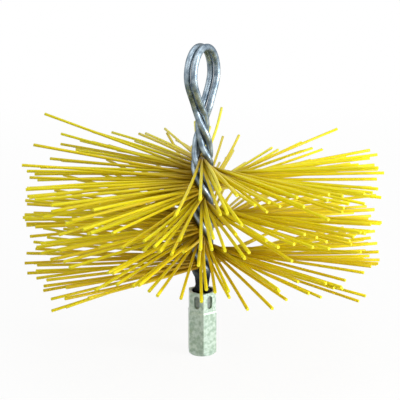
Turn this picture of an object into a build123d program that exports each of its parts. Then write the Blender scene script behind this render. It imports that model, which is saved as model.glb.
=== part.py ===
from build123d import *
import itertools
import math
import os
import random
import numpy as np

# Poly chimney sweep brush: two hairpin wires laid side by side, twisted together left-handed,
# with bristles clamped between them and a hexagonal threaded socket crimped on their four ends.
# Millimetres. Origin at the mouth of the threaded socket, +Z up the stem, the loops in the XZ plane.

# Overall
brush_diameter = 203.0
overrun = 1.0

# Twisted stem wire
wire_diameter = 3.6
wire_gap = 0.6
loop_gap = 0.7
twist_pitch = 45.0
twist_ramp = 10.0
twist_lead = 4.5

# Lengths along the stem, from the socket upwards
socket_length = 38.0
bare_stem_length = 14.5
bristle_zone_length = 63.5
neck_length = 21.0
loop_flank_length = 25.7
loop_crown_rise = 15.0
loop_width = 25.6
spread_length = 9.0

# Bristles
bristle_width = 0.96
bristle_spacing = 1.3
slot_clearance = 0.25
tuft_gap = 0.1
tuft_count = 18
rows_per_tuft = 3
columns_per_tuft = 3
bristle_bite = 0.45
slab_proud = 1.2
order_looseness = 3
steepest_bristle = 13.0
bristle_rise_spread = 4.5
bristle_side_spread = 3.5
column_splay = 4.0
shortest_bristle_share = 0.9
stray_bristle_share = 0.78
stray_chance_share = 0.08
bristle_gap = 0.08
exit_length = 14.0
placing_tries = 300
placing_steps = 160
bristle_seed = 577

# Mean rise of the bristles in degrees, at even steps up the bristle zone, on each side of the slot
layer_rises = {
    1: (3, 1, 0, 0, 0, 0, 0, 2, 4, 2, 0, 0),
    -1: (2, 0, 0, 1, 2, 0, 0, 0, 0, 0, -2, -3),
}

# Hexagonal socket
socket_across_flats = 15.5
socket_corner_angle = 35.0
wire_bore_clearance = 0.4
wire_bore_depth = 18.0
wire_end_clearance = 0.1
corner_chamfer = 1.5
thread_bore_diameter = 7.94
thread_length = 15.0
thread_chamfer = 0.5
rim_chamfer = 0.3

# Crimp on the top of the socket
crimp_height = 11.5
crimp_depth = 0.3
crimp_shoulder = 1.0
stake_width = 3.4
stake_height = 7.6
stake_drop = 5.6
stake_depth = 1.1
stake_wire_clearance = 0.2
stake_faces = (0, 2, 3, 5)

UPWARDS = np.array([0, 0, 1], float)

# Heights of the stations along the stem
bristle_bottom = socket_length + bare_stem_length
bristle_top = bristle_bottom + bristle_zone_length
flank_bottom = bristle_top + neck_length
flank_top = flank_bottom + loop_flank_length
crown_top = flank_top + loop_crown_rise
wire_end = socket_length - wire_bore_depth + wire_end_clearance
twist_start = flank_bottom + twist_lead

# Sizes that follow from the wire, its gap and the twist
wire_radius = wire_diameter / 2
turn_per_length = 2 * math.pi / twist_pitch
wire_spacing = wire_diameter + wire_gap
slab_half_width = bristle_spacing * (columns_per_tuft - 1) / 2 + bristle_width / 2 - tuft_gap
row_count = tuft_count * rows_per_tuft
row_spacing = bristle_zone_length / row_count
middle_column = (columns_per_tuft - 1) / 2


def slope_stretch(distance):
    """How much longer than square across a tilted wire's level cut is, at a distance off the axis."""
    return math.hypot(1, turn_per_length * distance)


# Neck: the four wires nest as a lozenge whose sides and short diagonal are one spacing
neck_spacing = wire_spacing * slope_stretch(wire_spacing / 2)
neck_leg_half = neck_spacing / 2
neck_pair_half = neck_spacing * math.sqrt(3) / 4
neck_shift = neck_spacing / 4

# Bristle zone: the two hairpins stand apart by the bristles between them
slot_pair_half = slab_half_width + slot_clearance + wire_radius * slope_stretch(neck_leg_half)
slot_leg_half = wire_spacing / 2 * slope_stretch(math.hypot(slot_pair_half, neck_leg_half))
slab_half_length = slot_leg_half + wire_radius + slab_proud

# Socket: its upper bore takes the nested wires
bundle_radius = math.hypot(neck_leg_half + neck_shift, neck_pair_half) + wire_radius
wire_bore_diameter = 2 * (bundle_radius + wire_bore_clearance)

# Loops: the two hairpins lie flat beside each other
loop_pair_half = (wire_diameter + loop_gap) / 2
loop_leg_half = loop_width / 2


def smooth(value, low, high):
    """Rise from 0 at low to 1 at high with level ends."""
    share = min(max((value - low) / (high - low), 0), 1)
    return share * share * (3 - 2 * share)


def twist_angle(height):
    """Turn of the wires about the stem, in radians, nothing in the loops and steady below them."""
    depth = twist_start + twist_ramp / 2 - height
    if depth <= 0:
        return 0
    turned = depth * depth / (2 * twist_ramp) if depth < twist_ramp else depth - twist_ramp / 2
    return turn_per_length * turned


def leg_place(height, hairpin, leg):
    """Centre of one wire leg; hairpin and leg are -1 or 1."""
    below = smooth(height, bristle_bottom - spread_length - tuft_gap, bristle_bottom - tuft_gap)
    above = 1 - smooth(height, bristle_top + tuft_gap, bristle_top + tuft_gap + spread_length)
    spread = min(below, above)
    opening = smooth(height, flank_bottom, flank_top)
    parting = smooth(height, flank_bottom, (flank_bottom + flank_top) / 2)
    leg_half = neck_leg_half + (slot_leg_half - neck_leg_half) * spread
    leg_half += (loop_leg_half - neck_leg_half) * opening
    pair_half = neck_pair_half + (slot_pair_half - neck_pair_half) * spread
    pair_half += (loop_pair_half - neck_pair_half) * parting
    shift = neck_shift * (1 - spread) * (1 - parting)
    x = leg * leg_half - hairpin * shift
    y = hairpin * pair_half
    turn = twist_angle(height)
    across = x * math.cos(turn) - y * math.sin(turn)
    along = x * math.sin(turn) + y * math.cos(turn)
    return Vector(across, along, height)


def leg_direction(height, hairpin, leg):
    """Upward direction of one wire leg, from two places close above and below."""
    step = wire_radius / 100
    rise = leg_place(height + step, hairpin, leg) - leg_place(height - step, hairpin, leg)
    return rise.normalized()


def biarc(start, start_way, end, end_way):
    """Two circular arcs that leave start and reach end along the given directions."""
    chord = end - start
    ways = start_way + end_way
    bend = 2 * (1 - start_way.dot(end_way))
    along = chord.dot(ways)
    reach = (math.sqrt(along * along + bend * chord.dot(chord)) - along) / bend
    first = start + start_way * reach
    last = end - end_way * reach
    middle = (first + last) * (1 / 2)
    middle_way = (last - first).normalized()
    return [
        Edge.make_tangent_arc(start, start_way, middle),
        Edge.make_tangent_arc(middle, middle_way, end),
    ]


def stations():
    """Heights of the path's points, an eighth of a turn or less apart, up to the loop's widest place."""
    bottom = wire_end - overrun
    count = math.ceil((flank_top - bottom) / (twist_pitch / 8))
    return [bottom + (flank_top - bottom) * step / count for step in range(count + 1)]


def hairpin_path(hairpin):
    """Edges of one hairpin's centre line: up one leg, round the crown and down the other."""
    heights = stations()
    up = [(leg_place(z, hairpin, -1), leg_direction(z, hairpin, -1)) for z in heights]
    down = [(leg_place(z, hairpin, 1), leg_direction(z, hairpin, 1) * -1) for z in reversed(heights)]
    crown = [(Vector(0, hairpin * loop_pair_half, crown_top), Vector(1, 0, 0))]
    knots = up + crown + down
    edges = []
    for (start, start_way), (end, end_way) in zip(knots, knots[1:]):
        edges += biarc(start, start_way, end, end_way)
    return edges, knots[0]


def hairpin_wire(hairpin):
    """One unbroken wire with both its ends cut level above the socket's floor."""
    edges, (start, start_way) = hairpin_path(hairpin)
    section = Plane(origin=start, z_dir=start_way) * Circle(wire_radius)
    tube = sweep(section, path=Wire(edges))
    waste_side = socket_across_flats + overrun
    waste_depth = overrun + wire_diameter
    waste = Pos(0, 0, wire_end - waste_depth / 2) * Box(waste_side, waste_side, waste_depth)
    return tube - waste, edges


def points_along(edges):
    """Points along a path with their distance from its start, less than a wire radius apart."""
    points = []
    travelled = 0
    for edge in edges:
        count = math.ceil(edge.length / wire_radius * 2)
        for step in range(count):
            points.append((edge @ (step / count), travelled + edge.length * step / count))
        travelled += edge.length
    return points


def least_gap_to_itself(edges):
    """Least clear gap between stretches of one wire that are over half a twist pitch apart."""
    points = points_along(edges)
    least = brush_diameter
    for index, (point, place) in enumerate(points):
        for other, other_place in points[index + 1:]:
            if other_place - place > twist_pitch / 2:
                least = min(least, (other - point).length)
    return least - wire_diameter


def least_gap_between(edges, other_edges):
    """Least clear gap between two wires."""
    pairs = itertools.product(points_along(edges), points_along(other_edges))
    return min((other - point).length for (point, _), (other, _) in pairs) - wire_diameter


def slot_ways(height, side):
    """Level directions out of the slot between the hairpins and across it, on one side."""
    turn = twist_angle(height)
    ahead = side * np.array([math.cos(turn), math.sin(turn), 0])
    return ahead, np.cross(UPWARDS, ahead)


def bristle_root(place):
    """Where a bristle leaves the slot, and the level directions ahead of it and aside."""
    row, column, side = place
    ahead, aside = slot_ways(bristle_bottom + (row + 1 / 2) * row_spacing, side)
    across = (column - middle_column) * bristle_spacing
    root = ahead * (slab_half_length - bristle_bite) + aside * across
    return root + UPWARDS * (bristle_bottom + (row + 1 / 2) * row_spacing), ahead, aside


def layer_rise(row, side):
    """Mean rise in degrees of the bristles in a row, on one side of the slot."""
    rises = layer_rises[side]
    return np.interp((row + 1 / 2) / row_count * (len(rises) - 1), range(len(rises)), rises)


def bristle_line(place, stray_rise, stray_swing, reach):
    """Root and tip of a bristle that strays from its layer's way by angles in degrees."""
    row, column, side = place
    root, ahead, aside = bristle_root(place)
    swing = math.radians(stray_swing + column_splay * (column - middle_column))
    rise = math.radians(stray_rise + layer_rise(row, side))
    level = ahead * math.cos(swing) + aside * math.sin(swing)
    way = level * math.cos(rise) + UPWARDS * math.sin(rise)
    return root, root + way * (reach - slab_half_length)


def random_bristle(place, looseness, chooser):
    """A bristle that strays from its nominal way by chance, more so the looser it may be."""
    rise = chooser.gauss(0, looseness * bristle_rise_spread)
    rise = max(-steepest_bristle, min(steepest_bristle, rise))
    swing = looseness * chooser.uniform(-bristle_side_spread, bristle_side_spread)
    shortest = stray_bristle_share if chooser.random() < stray_chance_share else shortest_bristle_share
    return bristle_line(place, rise, swing, brush_diameter / 2 * chooser.triangular(shortest, 1, 1))


def steps_along(line, length=brush_diameter / 2):
    """Places along a bristle's line at even steps of level distance, put far away beyond a length."""
    root, tip = line
    level_length = math.hypot(*(tip - root)[:2])
    distances = np.linspace(0, brush_diameter / 2, placing_steps)[:, None]
    places = root + distances / level_length * (tip - root)
    return np.where(distances <= length, places, brush_diameter)


def roomiest_bristle(place, others, chooser):
    """The first bristle tried that keeps clear of all others, or else the one with the most room."""
    most_room = 0
    for attempt in range(placing_tries):
        line = random_bristle(place, 1 + attempt / placing_tries, chooser)
        apart = others - steps_along(line)
        room = np.maximum(np.abs(apart[:, :, 2]), np.hypot(apart[:, :, 0], apart[:, :, 1])).min()
        if room > most_room:
            most_room = room
            roomiest = line
        if room > bristle_width + bristle_gap:
            break
    return roomiest, most_room


def lay_bristles():
    """Roots and tips of all bristles by tuft, laid in a loose order from the middle row outwards."""
    chooser = random.Random(bristle_seed)
    middle_row = (row_count - 1) / 2
    places = list(itertools.product(range(row_count), range(columns_per_tuft), (-1, 1)))
    places.sort(key=lambda place: abs(place[0] - middle_row) + chooser.uniform(0, 2 * order_looseness))
    nominal = [bristle_line(place, 0, 0, brush_diameter / 2) for place in places]
    taken = np.array([steps_along(line, exit_length) for line in nominal])
    tufts = [[] for _ in range(tuft_count)]
    least_room = brush_diameter
    for index, place in enumerate(places):
        line, room = roomiest_bristle(place, np.delete(taken, index, axis=0), chooser)
        taken[index] = steps_along(line)
        tufts[place[0] // rows_per_tuft].append(line)
        least_room = min(least_room, room)
    print("bristles", len(places), "least gap between them", round(least_room - bristle_width, 3))
    return tufts


def bristle(line):
    """One four-sided bristle, cut square at its tip."""
    root, tip = (Vector(*place) for place in line)
    way = tip - root
    section = Plane(origin=root, x_dir=Vector(*UPWARDS).cross(way), z_dir=way)
    return extrude(section * Rectangle(bristle_width, bristle_width), amount=way.length)


def clamped_slab(tuft):
    """The slice of squeezed bristles that fills the twisting slot between the hairpins."""
    low = bristle_bottom + tuft * rows_per_tuft * row_spacing + tuft_gap / 2
    high = low + rows_per_tuft * row_spacing - tuft_gap
    outline = Rectangle(2 * slab_half_length, 2 * slab_half_width)
    sections = []
    for step in range(rows_per_tuft + 1):
        height = low + (high - low) * step / rows_per_tuft
        ahead = Vector(*slot_ways(height, 1)[0])
        sections.append(Plane(origin=(0, 0, height), x_dir=ahead, z_dir=(0, 0, 1)) * outline)
    return loft(sections, ruled=True)


def bristle_tuft(tuft, lines):
    """A slab with the bristles that stand out of both its ends."""
    return clamped_slab(tuft).fuse(*(bristle(line) for line in lines))


def hexagon(height, inset=0):
    """The socket's level outline at a height, moved in from its flats."""
    apothem = socket_across_flats / 2 - inset
    return Pos(0, 0, height) * RegularPolygon(apothem, 6, major_radius=False, rotation=socket_corner_angle)


def socket_bar():
    """Hexagonal bar with its lower corners turned off and its top squeezed by the crimp."""
    shoulder = socket_length - crimp_height
    corner_radius = socket_across_flats / math.sqrt(3)
    bar = extrude(hexagon(0), amount=shoulder - crimp_shoulder)
    turned = Pos(0, 0, socket_length / 2) * Cylinder(corner_radius, socket_length)
    turned = chamfer(turned.edges().sort_by(Axis.Z)[0], corner_chamfer)
    taper = loft([hexagon(shoulder - crimp_shoulder), hexagon(shoulder, crimp_depth)], ruled=True)
    squeezed = extrude(hexagon(shoulder, crimp_depth), amount=crimp_height)
    return (bar + taper + squeezed) & turned


def stake_outline(face, distance):
    """Upright slot outline of a stake mark, at a distance off the axis on one face of the socket."""
    angle = math.radians(socket_corner_angle + (face + 1 / 2) * 60)
    outward = Vector(math.cos(angle), math.sin(angle), 0)
    centre = outward * distance + Vector(0, 0, socket_length - stake_drop)
    return Plane(origin=centre, x_dir=(0, 0, 1), z_dir=outward) * SlotOverall(stake_height, stake_width)


def upright_hole(diameter, low, high):
    """Cylinder on the stem's axis between two heights."""
    return Pos(0, 0, (low + high) / 2) * Cylinder(diameter / 2, high - low)


def hex_socket():
    """Socket with a blind wire bore above, a threaded bore below and stakes that grip the wires."""
    stake_tip = bundle_radius + stake_wire_clearance
    bar_face = socket_across_flats / 2 - crimp_depth
    bore_floor = socket_length - wire_bore_depth
    thread_hole = upright_hole(thread_bore_diameter, -overrun, thread_length)
    mouth = Cone(thread_bore_diameter / 2 + thread_chamfer, thread_bore_diameter / 2, thread_chamfer)
    wire_hole = upright_hole(wire_bore_diameter, bore_floor, socket_length + overrun)
    rim = Cone(wire_bore_diameter / 2, wire_bore_diameter / 2 + rim_chamfer, rim_chamfer)
    socket = socket_bar() - thread_hole - Pos(0, 0, thread_chamfer / 2) * mouth
    socket = socket - wire_hole - Pos(0, 0, socket_length - rim_chamfer / 2) * rim
    for face in stake_faces:
        socket += extrude(stake_outline(face, stake_tip), amount=bar_face - crimp_depth - stake_tip)
    for face in stake_faces:
        socket -= extrude(stake_outline(face, bar_face - stake_depth), amount=stake_depth + overrun)
    return socket


def check_wires(paths):
    """Print each wire's least gap to itself, the gap between the wires and the tightest bend."""
    for name, edges in paths.items():
        print(name, "least gap to itself", round(least_gap_to_itself(edges), 2))
        print(name, "tightest bend", round(min(edge.radius for edge in edges), 2))
    print("least gap between the wires", round(least_gap_between(*paths.values()), 2))


def build():
    """Write every piece of the brush to its own file."""
    os.makedirs("parts", exist_ok=True)
    paths = {}
    for name, hairpin in (("loop_wire_front", -1), ("loop_wire_back", 1)):
        wire, paths[name] = hairpin_wire(hairpin)
        export_step(wire, f"parts/{name}.step")
    check_wires(paths)
    export_step(hex_socket(), "parts/hex_socket.step")
    for tuft, lines in enumerate(lay_bristles()):
        export_step(bristle_tuft(tuft, lines), f"parts/bristle_tuft_{tuft + 1:02d}.step")


build()
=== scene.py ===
import math
import random

import bpy
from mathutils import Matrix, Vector


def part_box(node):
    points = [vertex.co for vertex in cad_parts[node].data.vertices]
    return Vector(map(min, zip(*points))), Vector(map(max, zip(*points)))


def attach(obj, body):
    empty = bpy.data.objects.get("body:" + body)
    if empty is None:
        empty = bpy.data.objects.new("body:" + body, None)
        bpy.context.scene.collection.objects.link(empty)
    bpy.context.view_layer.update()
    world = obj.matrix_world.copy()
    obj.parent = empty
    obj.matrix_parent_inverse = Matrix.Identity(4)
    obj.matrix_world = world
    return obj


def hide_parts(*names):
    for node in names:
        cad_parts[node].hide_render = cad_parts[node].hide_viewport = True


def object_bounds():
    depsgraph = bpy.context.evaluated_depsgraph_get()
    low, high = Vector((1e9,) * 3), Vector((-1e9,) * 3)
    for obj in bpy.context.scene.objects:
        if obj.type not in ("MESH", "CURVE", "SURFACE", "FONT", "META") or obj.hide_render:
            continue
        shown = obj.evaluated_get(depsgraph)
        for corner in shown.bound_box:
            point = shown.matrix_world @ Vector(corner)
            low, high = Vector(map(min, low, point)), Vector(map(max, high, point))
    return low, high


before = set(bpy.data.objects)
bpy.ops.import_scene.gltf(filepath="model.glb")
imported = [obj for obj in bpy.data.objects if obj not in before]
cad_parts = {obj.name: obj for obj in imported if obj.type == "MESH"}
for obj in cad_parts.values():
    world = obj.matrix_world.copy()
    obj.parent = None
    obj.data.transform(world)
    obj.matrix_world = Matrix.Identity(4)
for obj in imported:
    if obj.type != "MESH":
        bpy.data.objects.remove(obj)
cad_low, cad_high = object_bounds()

# Chimney sweep brush: strands with round, slightly bowed bodies and cut ends take the place of the
# CAD tufts, the CAD wires and socket get galvanised and zinc materials. Metres, in the CAD frame.

MM = 0.001

# View of the photograph
IMAGE_SIDE = 400
PIXELS_PER_FOCAL_LENGTH = 1244
CAMERA_AZIMUTH = 210
CAMERA_ELEVATION = 15
CAMERA_DISTANCE = 700 * MM
AIM_HEIGHT = 91.3 * MM
STEM_RIGHT_OF_CENTRE = 1.3 * MM
SENSOR_WIDTH = 36

# Strands
LOWEST_TUFT = "bristle_tuft_01"
HIGHEST_TUFT = "bristle_tuft_18"
STRAND_RADIUS = 0.82 * MM
STRAND_RADIUS_SPREAD = 0.05
STRAND_SIDES = 10
STRAND_STEPS = 9
LARGEST_BOW = 1.5 * MM
CUT_BEVEL = 0.12 * MM
CUT_FLARE = 1.05
STRAND_SEED = 5

# Cut ends in a CAD tuft: their share of the reach is above the first, their area below the second
TIP_REGION = 0.6
TIP_FACE_AREA = 1.0 * MM * MM

# Strays that the photograph shows above the rest: azimuth, root's height, reach and tip's height
STRAYS = {
    "bristle_tuft_16": (
        (99, 107.4 * MM, 98 * MM, 133.7 * MM),
        (89, 107.9 * MM, 98 * MM, 118.6 * MM),
    ),
}

# Floor, with the radii between which its glow for the camera rises to white
FLOOR_SIDE = 12.0
FLOOR_COLOUR = (0.9, 0.9, 0.9)
FLOOR_ROUGHNESS = 0.9
FLOOR_GLOW = (0.93, 1)
FLOOR_GLOW_RADII = (120 * MM, 800 * MM)

# Soft lamps: azimuth from the camera's and elevation, distance, width and height, power
LAMPS = {
    "key": (55, 28, 0.9, 0.35, 0.6, 3.8),
    "side": (72, 3, 0.9, 0.25, 0.15, 6.0),
    "fill": (-60, 38, 1.0, 0.8, 0.8, 2.6),
    "top": (0, 85, 0.9, 0.6, 0.6, 3.6),
}

# The world's strength for rays that light the object
WORLD_LEVEL = 0.10

# Colours, linear
POLY_LIT = (0.86, 0.78, 0.007)
# Deep amber: each strand's own tone at random, and painted shade at the roots and on the lower
# strands
POLY_DEEP = (0.62, 0.36, 0.003)
# Painted shade on the strands near the stem
POLY_SHADED = (0.28, 0.145, 0.003)
POLY_CUT = (0.86, 0.78, 0.06)
WIRE_LIGHT = (0.38, 0.46, 0.52)
WIRE_DARK = (0.13, 0.18, 0.23)
WIRE_EDGE = (0.08, 0.11, 0.14)
# Painted shade in the crevices between the wires
WIRE_CREVICE_SHADE = (0.22, 0.26, 0.29)
# Painted shade on the wire just above the socket, under the bristles
WIRE_UNDER_BRISTLE_SHADE = (0.02, 0.022, 0.024)
ZINC_LIGHT = (0.53, 0.65, 0.57)
ZINC_DARK = (0.28, 0.41, 0.31)
# Painted shade in the socket's bore and stake recesses
ZINC_HOLLOW_SHADE = (0.03, 0.035, 0.03)
WHITE = (1.0, 1.0, 1.0)

# Noise value at which patches are all dark and all light, where a material sets no other
PATCH_EDGES = (0.35, 0.65)

# Wires: noise as scale, detail and stretch, roughness from dark to light patches, relief's depth
WIRE_PATCHES = (260, 4)
WIRE_GRAIN = (1400, 3, (1, 1, 0.35))
WIRE_ROUGHNESS = (0.46, 0.3)
WIRE_METALLIC = 0.7
WIRE_RELIEF = 0.04 * MM

# Socket, as the wires, and its clear coat
ZINC_PATCHES = (480, 8)
ZINC_PATCH_EDGES = (0.38, 0.60)
ZINC_GRAIN = (900, 5, (1, 1, 0.3))
ZINC_ROUGHNESS = (0.6, 0.45)
ZINC_METALLIC = 0.3
ZINC_COAT_IOR = 1.6
ZINC_COAT_ROUGHNESS = 0.45
ZINC_RELIEF = 0.05 * MM
METAL_RELIEF_STRENGTH = 0.3

# Strands: how much of the tint comes from the place along a strand and from its height on the
# stem, painted shade on the roots and the lower strands, the rest being each strand's own tone;
# up to which tint and which share of the length the deep and the painted shade colours reach
ROOT_SHADE_SHARE = 0.25
HEIGHT_SHADE_SHARE = 0.42
LIT_TINT = 0.8
SHADED_SHARE = 0.40
POLY_STREAKS = (500, 3)
POLY_ROUGHNESS = (0.30, 0.50)
POLY_RELIEF = 0.06 * MM
POLY_RELIEF_STRENGTH = 0.35
CUT_GRAIN = (1500, 2)
CUT_ROUGHNESS = (0.45, 0.65)
POLY_SUBSURFACE = 0.2
POLY_SUBSURFACE_RADIUS = (1.0, 0.8, 0.1)
POLY_IOR = 1.49
POLY_SPECULAR = 0.25

# Level distances from the stem's axis between which painted shade in crevices and hollows turns to
# the metal's own colour
WIRE_CREVICE_RADII = (1.8 * MM, 3.3 * MM)
# For the socket: painted shade in the bore and stake recesses
ZINC_CREVICE_RADII = (6.1 * MM, 7.0 * MM)

# Heights between which the painted shade on the wire just above the socket, under the bristles,
# turns to the clean colour
UNDER_BRISTLE_SHADE_HEIGHTS = (46 * MM, 60 * MM)

# Colour sockets of a Mix node
MIX_FIRST, MIX_SECOND, MIX_RESULT = 6, 7, 2


def level_direction(azimuth):
    """Level unit vector at an azimuth in degrees from +X."""
    angle = math.radians(azimuth)
    return Vector((math.cos(angle), math.sin(angle), 0))


def direction(azimuth, elevation):
    """Unit vector at an azimuth and elevation in degrees."""
    rise = math.radians(elevation)
    return level_direction(azimuth) * math.cos(rise) + Vector((0, 0, math.sin(rise)))


# Materials

def new_material(name):
    """A node material with its nodes, links and shader."""
    material = bpy.data.materials.new(name)
    material.use_nodes = True
    nodes = material.node_tree.nodes
    return material, nodes, material.node_tree.links, nodes["Principled BSDF"]


def object_noise(nodes, links, scale, detail, stretch=(1, 1, 1)):
    """Noise in object coordinates, with features of about 1 / scale metres."""
    place = nodes.new("ShaderNodeTexCoord")
    mapping = nodes.new("ShaderNodeMapping")
    mapping.inputs["Scale"].default_value = stretch
    noise = nodes.new("ShaderNodeTexNoise")
    noise.inputs["Scale"].default_value = scale
    noise.inputs["Detail"].default_value = detail
    links.new(place.outputs["Object"], mapping.inputs["Vector"])
    links.new(mapping.outputs["Vector"], noise.inputs["Vector"])
    return noise.outputs["Fac"]


def two_tone(nodes, links, factor, low, high, edges=PATCH_EDGES):
    """From a low to a high colour, as a factor goes from one edge to the other."""
    ramp = nodes.new("ShaderNodeValToRGB")
    for element, position, colour in zip(ramp.color_ramp.elements, edges, (low, high)):
        element.position = position
        element.color = (*colour, 1)
    links.new(factor, ramp.inputs["Fac"])
    return ramp.outputs["Color"]


def spread(nodes, links, factor, low, high, start=0, end=1):
    """A factor that goes from low to high, as another goes from start to end."""
    mapped = nodes.new("ShaderNodeMapRange")
    mapped.inputs["From Min"].default_value = start
    mapped.inputs["From Max"].default_value = end
    mapped.inputs["To Min"].default_value = low
    mapped.inputs["To Max"].default_value = high
    links.new(factor, mapped.inputs["Value"])
    return mapped.outputs["Result"]


def stem_distance(nodes, links):
    """Level distance from the stem's axis, in metres."""
    place = nodes.new("ShaderNodeTexCoord")
    level = nodes.new("ShaderNodeVectorMath")
    level.operation = "MULTIPLY"
    level.inputs[1].default_value = (1, 1, 0)
    links.new(place.outputs["Object"], level.inputs[0])
    distance = nodes.new("ShaderNodeVectorMath")
    distance.operation = "LENGTH"
    links.new(level.outputs["Vector"], distance.inputs[0])
    return distance.outputs["Value"]


def blend(nodes, links, factor, first, colour):
    """From a constant colour to a linked one, as a factor goes from 0 to 1."""
    mix = nodes.new("ShaderNodeMix")
    mix.data_type = "RGBA"
    links.new(factor, mix.inputs["Factor"])
    mix.inputs[MIX_FIRST].default_value = (*first, 1)
    links.new(colour, mix.inputs[MIX_SECOND])
    return mix.outputs[MIX_RESULT]


def dark_within(nodes, links, colour, dark, radii):
    """A colour that turns to a painted shade from the outer to the inner of two distances from the
    axis.
    """
    factor = spread(nodes, links, stem_distance(nodes, links), 0, 1, *radii)
    return blend(nodes, links, factor, dark, colour)


def dark_below(nodes, links, colour, dark, heights):
    """A colour that turns to a painted shade from the upper to the lower of two heights."""
    place = nodes.new("ShaderNodeTexCoord")
    parts = nodes.new("ShaderNodeSeparateXYZ")
    links.new(place.outputs["Object"], parts.inputs["Vector"])
    factor = spread(nodes, links, parts.outputs["Z"], 0, 1, *heights)
    return blend(nodes, links, factor, dark, colour)


def add_relief(nodes, links, shader, height, distance, strength=METAL_RELIEF_STRENGTH):
    """Fine relief from a height factor."""
    bump = nodes.new("ShaderNodeBump")
    bump.inputs["Strength"].default_value = strength
    bump.inputs["Distance"].default_value = distance
    links.new(height, bump.inputs["Height"])
    links.new(bump.outputs["Normal"], shader.inputs["Normal"])


def galvanised_wire():
    """Drawn, galvanised steel wire with soft grey patches and painted shade in crevices and above
    the socket.
    """
    material, nodes, links, shader = new_material("galvanised_wire")
    patches = object_noise(nodes, links, *WIRE_PATCHES)
    colour = two_tone(nodes, links, patches, WIRE_DARK, WIRE_LIGHT)
    # Painted shade in the crevices near the axis
    colour = dark_within(nodes, links, colour, WIRE_CREVICE_SHADE, WIRE_CREVICE_RADII)
    # Painted shade just above the socket, under the bristles
    colour = dark_below(nodes, links, colour, WIRE_UNDER_BRISTLE_SHADE, UNDER_BRISTLE_SHADE_HEIGHTS)
    links.new(colour, shader.inputs["Base Color"])
    shader.inputs["Metallic"].default_value = WIRE_METALLIC
    shader.inputs["Specular Tint"].default_value = (*WIRE_EDGE, 1)
    links.new(spread(nodes, links, patches, *WIRE_ROUGHNESS), shader.inputs["Roughness"])
    grain = object_noise(nodes, links, *WIRE_GRAIN)
    add_relief(nodes, links, shader, grain, WIRE_RELIEF)
    return material


def zinc_socket():
    """Zinc plated hexagonal bar, mottled, with a satin coat and painted shade in its bore and
    recesses.
    """
    material, nodes, links, shader = new_material("zinc_socket")
    patches = object_noise(nodes, links, *ZINC_PATCHES)
    colour = two_tone(nodes, links, patches, ZINC_DARK, ZINC_LIGHT, ZINC_PATCH_EDGES)
    # Painted shade in the bore and stake recesses
    colour = dark_within(nodes, links, colour, ZINC_HOLLOW_SHADE, ZINC_CREVICE_RADII)
    links.new(colour, shader.inputs["Base Color"])
    shader.inputs["Metallic"].default_value = ZINC_METALLIC
    shader.inputs["Coat Weight"].default_value = 1
    shader.inputs["Coat IOR"].default_value = ZINC_COAT_IOR
    shader.inputs["Coat Roughness"].default_value = ZINC_COAT_ROUGHNESS
    links.new(spread(nodes, links, patches, *ZINC_ROUGHNESS), shader.inputs["Roughness"])
    grain = object_noise(nodes, links, *ZINC_GRAIN)
    add_relief(nodes, links, shader, grain, ZINC_RELIEF)
    return material


def poly_strand():
    """Yellow polypropylene, each strand a little different, with painted shade at the stem and
    lower down.
    """
    material, nodes, links, shader = new_material("poly_strand")
    tint = nodes.new("ShaderNodeAttribute")
    tint.attribute_name = "tint"
    along = nodes.new("ShaderNodeAttribute")
    along.attribute_name = "along"
    # Painted shade: the place along a strand and its height deepen the colour towards the root and
    # lower down
    both = nodes.new("ShaderNodeMath")
    both.operation = "MULTIPLY_ADD"
    links.new(along.outputs["Fac"], both.inputs[0])
    both.inputs[1].default_value = ROOT_SHADE_SHARE
    links.new(tint.outputs["Fac"], both.inputs[2])
    colour = two_tone(nodes, links, both.outputs["Value"], POLY_DEEP, POLY_LIT, (0, LIT_TINT))
    # Painted shade at the strands' roots
    shaded = spread(nodes, links, along.outputs["Fac"], 0, 1, 0, SHADED_SHARE)
    links.new(blend(nodes, links, shaded, POLY_SHADED, colour), shader.inputs["Base Color"])
    streaks = object_noise(nodes, links, *POLY_STREAKS)
    links.new(spread(nodes, links, streaks, *POLY_ROUGHNESS), shader.inputs["Roughness"])
    add_relief(nodes, links, shader, streaks, POLY_RELIEF, POLY_RELIEF_STRENGTH)
    set_poly(shader)
    return material


def poly_cut():
    """Pale cut ends of the strands."""
    material, nodes, links, shader = new_material("poly_cut")
    grain = object_noise(nodes, links, *CUT_GRAIN)
    colour = two_tone(nodes, links, grain, POLY_LIT, POLY_CUT)
    links.new(colour, shader.inputs["Base Color"])
    links.new(spread(nodes, links, grain, *CUT_ROUGHNESS), shader.inputs["Roughness"])
    set_poly(shader)
    return material


def set_poly(shader):
    """Constants that both poly materials share."""
    shader.inputs["Subsurface Weight"].default_value = POLY_SUBSURFACE
    shader.inputs["Subsurface Radius"].default_value = POLY_SUBSURFACE_RADIUS
    shader.inputs["Subsurface Scale"].default_value = STRAND_RADIUS
    shader.inputs["IOR"].default_value = POLY_IOR
    shader.inputs["Specular IOR Level"].default_value = POLY_SPECULAR


# Strands

def strand_tips(node):
    """Centre and outward direction of each strand's cut end in a CAD tuft."""
    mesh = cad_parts[node].data
    reach = max(cad_high.x, cad_high.y)
    tips = []
    for face in mesh.polygons:
        if face.area > TIP_FACE_AREA or face.center.xy.length < TIP_REGION * reach:
            continue
        corners = [mesh.vertices[index].co for index in face.vertices]
        sides = zip(corners, corners[1:] + corners[:1])
        first, second = max(sides, key=lambda side: (side[0] - side[1]).length)
        middle = (first + second) / 2
        if all((middle - tip).length > STRAND_RADIUS / 2 for tip, _ in tips):
            tips.append((middle, face.normal.copy()))
    return tips


def strand_root(tip, way):
    """Where a strand's straight line passes closest to the stem's axis."""
    travel = tip.xy.dot(way.xy) / way.xy.length_squared
    return tip - way * travel


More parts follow.
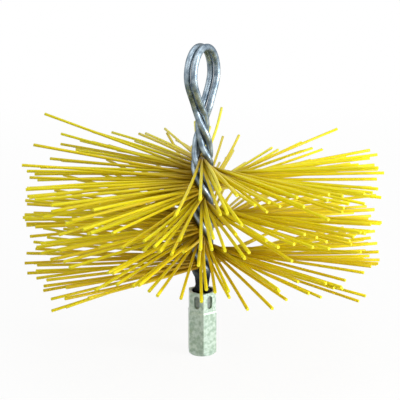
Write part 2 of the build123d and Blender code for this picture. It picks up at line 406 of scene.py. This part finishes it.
def strand_rings(root, tip, radius, bow):
    """Centres and radii of a strand's rings, bowed in the middle and flared at the cut."""
    rings = []
    for step in range(STRAND_STEPS + 1):
        share = step / STRAND_STEPS
        centre = root.lerp(tip, share) + bow * math.sin(math.pi * share)
        rings.append((centre, radius, share))
    last = tip - (tip - root).normalized() * CUT_BEVEL
    rings[-1] = (last, radius * CUT_FLARE, 1)
    rings.append((tip, radius * CUT_FLARE - CUT_BEVEL, 1))
    return rings


def strand_faces(start, ring_count):
    """Side faces and the two end faces of a strand whose points begin at an index."""
    sides = []
    for ring in range(ring_count - 1):
        low = start + ring * STRAND_SIDES
        high = low + STRAND_SIDES
        for corner in range(STRAND_SIDES):
            after = (corner + 1) % STRAND_SIDES
            sides.append((low + corner, low + after, high + after, high + corner))
    last = start + (ring_count - 1) * STRAND_SIDES
    tip_end = [last + corner for corner in range(STRAND_SIDES)]
    root_end = [start + corner for corner in reversed(range(STRAND_SIDES))]
    return sides, [tip_end, root_end]


def add_strand(shape, root, tip, chooser):
    """One strand as a tube with a flat cut end, added to a tuft's shape."""
    way = (tip - root).normalized()
    side = way.orthogonal().normalized()
    other = way.cross(side)
    turn = chooser.uniform(0, 2 * math.pi)
    bow = (side * math.cos(turn) + other * math.sin(turn)) * chooser.uniform(0, LARGEST_BOW)
    radius = STRAND_RADIUS * (1 + chooser.uniform(-STRAND_RADIUS_SPREAD, STRAND_RADIUS_SPREAD))
    height = (root.z - shape["low"]) / (shape["high"] - shape["low"])
    # The height's share is painted shade on the lower strands, the random share each strand's own
    # tone
    tint = HEIGHT_SHADE_SHARE * height + (1 - ROOT_SHADE_SHARE - HEIGHT_SHADE_SHARE) * chooser.random()
    rings = strand_rings(root, tip, radius, bow)
    sides, ends = strand_faces(len(shape["points"]), len(rings))
    shape["faces"] += sides + ends
    shape["cut"] += [0] * len(sides) + [1] * len(ends)
    for centre, ring_radius, share in rings:
        for corner in range(STRAND_SIDES):
            angle = 2 * math.pi * corner / STRAND_SIDES
            spoke = side * math.cos(angle) + other * math.sin(angle)
            shape["points"].append(centre + spoke * ring_radius)
            shape["tint"].append(tint)
            shape["along"].append(share)


def bristle_tuft(node, materials, chooser):
    """The strands of one CAD tuft, each from the stem's axis to its own tip, and its strays."""
    shape = {"points": [], "faces": [], "cut": [], "tint": [], "along": []}
    shape["low"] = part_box(LOWEST_TUFT)[0].z
    shape["high"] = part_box(HIGHEST_TUFT)[1].z
    for tip, way in strand_tips(node):
        add_strand(shape, strand_root(tip, way), tip, chooser)
    for azimuth, root_height, reach, tip_height in STRAYS.get(node, ()):
        tip = level_direction(azimuth) * reach + Vector((0, 0, tip_height))
        add_strand(shape, Vector((0, 0, root_height)), tip, chooser)
    mesh = bpy.data.meshes.new("strands_" + node)
    mesh.from_pydata(shape["points"], [], shape["faces"])
    for material in materials:
        mesh.materials.append(material)
    mesh.polygons.foreach_set("material_index", shape["cut"])
    mesh.polygons.foreach_set("use_smooth", [cut == 0 for cut in shape["cut"]])
    for name in ("tint", "along"):
        mesh.attributes.new(name, "FLOAT", "POINT").data.foreach_set("value", shape[name])
    piece = bpy.data.objects.new("strands_" + node, mesh)
    bpy.context.scene.collection.objects.link(piece)
    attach(piece, "root")
    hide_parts(node)


# Studio

def seen_ray(nodes, links):
    """1 for rays from the camera, off gloss or through glass, 0 for those that give light."""
    path = nodes.new("ShaderNodeLightPath")
    seen = path.outputs["Is Camera Ray"]
    for name in ("Is Glossy Ray", "Is Transmission Ray"):
        larger = nodes.new("ShaderNodeMath")
        larger.operation = "MAXIMUM"
        links.new(seen, larger.inputs[0])
        links.new(path.outputs[name], larger.inputs[1])
        seen = larger.outputs["Value"]
    return seen


def add_floor():
    """Pale floor under the socket that stays white to the camera and keeps a soft shadow."""
    bpy.ops.mesh.primitive_plane_add(size=FLOOR_SIDE, location=(0, 0, cad_low.z))
    floor = bpy.context.object
    floor.name = "floor"
    material, nodes, links, shader = new_material("floor_white")
    shader.inputs["Base Color"].default_value = (*FLOOR_COLOUR, 1)
    shader.inputs["Roughness"].default_value = FLOOR_ROUGHNESS
    glow = nodes.new("ShaderNodeEmission")
    share = spread(nodes, links, stem_distance(nodes, links), *FLOOR_GLOW, *FLOOR_GLOW_RADII)
    seen = nodes.new("ShaderNodeMath")
    seen.operation = "MULTIPLY"
    links.new(share, seen.inputs[0])
    links.new(seen_ray(nodes, links), seen.inputs[1])
    mix = nodes.new("ShaderNodeMixShader")
    links.new(seen.outputs["Value"], mix.inputs["Fac"])
    links.new(shader.outputs["BSDF"], mix.inputs[1])
    links.new(glow.outputs["Emission"], mix.inputs[2])
    links.new(mix.outputs["Shader"], nodes["Material Output"].inputs["Surface"])
    floor.data.materials.append(material)


def add_world():
    """Even light from all around, white where the camera sees it."""
    world = bpy.data.worlds.new("studio")
    bpy.context.scene.world = world
    world.use_nodes = True
    nodes = world.node_tree.nodes
    links = world.node_tree.links
    background = nodes["Background"]
    background.inputs["Color"].default_value = (*WHITE, 1)
    level = spread(nodes, links, seen_ray(nodes, links), WORLD_LEVEL, 1)
    links.new(level, background.inputs["Strength"])


def add_lamp(name, azimuth, elevation, distance, width, height, power):
    """A soft lamp at an azimuth from the camera's, aimed at the middle of the brush."""
    light = bpy.data.lights.new(name, "AREA")
    light.shape = "RECTANGLE"
    light.size = width
    light.size_y = height
    light.energy = power
    lamp = bpy.data.objects.new(name, light)
    bpy.context.scene.collection.objects.link(lamp)
    way = direction(CAMERA_AZIMUTH + azimuth, elevation)
    lamp.location = Vector((0, 0, AIM_HEIGHT)) + way * distance
    lamp.rotation_euler = way.to_track_quat("Z", "Y").to_euler()


def add_camera():
    """Camera at the photograph's angle, with the stem a little right of the middle."""
    data = bpy.data.cameras.new("camera")
    data.sensor_width = SENSOR_WIDTH
    data.lens = PIXELS_PER_FOCAL_LENGTH / IMAGE_SIDE * SENSOR_WIDTH
    camera = bpy.data.objects.new("camera", data)
    bpy.context.scene.collection.objects.link(camera)
    way = direction(CAMERA_AZIMUTH, CAMERA_ELEVATION)
    right = Vector((0, 0, 1)).cross(way).normalized()
    aim = Vector((0, 0, AIM_HEIGHT)) - right * STEM_RIGHT_OF_CENTRE
    camera.location = aim + way * CAMERA_DISTANCE
    camera.rotation_euler = way.to_track_quat("Z", "Y").to_euler()
    bpy.context.scene.camera = camera


def dress_frame():
    """Materials for the CAD pieces that stay."""
    wire = galvanised_wire()
    dress = {"loop_wire_front": wire, "loop_wire_back": wire, "hex_socket": zinc_socket()}
    for name, material in dress.items():
        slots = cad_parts[name].data.materials
        slots.clear()
        slots.append(material)


def build():
    """The whole scene."""
    dress_frame()
    chooser = random.Random(STRAND_SEED)
    poly = (poly_strand(), poly_cut())
    for node in sorted(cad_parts):
        if node.startswith("bristle_tuft"):
            bristle_tuft(node, poly, chooser)
    add_floor()
    add_world()
    for name, lamp in LAMPS.items():
        add_lamp(name, *lamp)
    add_camera()
    bpy.context.scene.view_settings.view_transform = "Standard"


build()
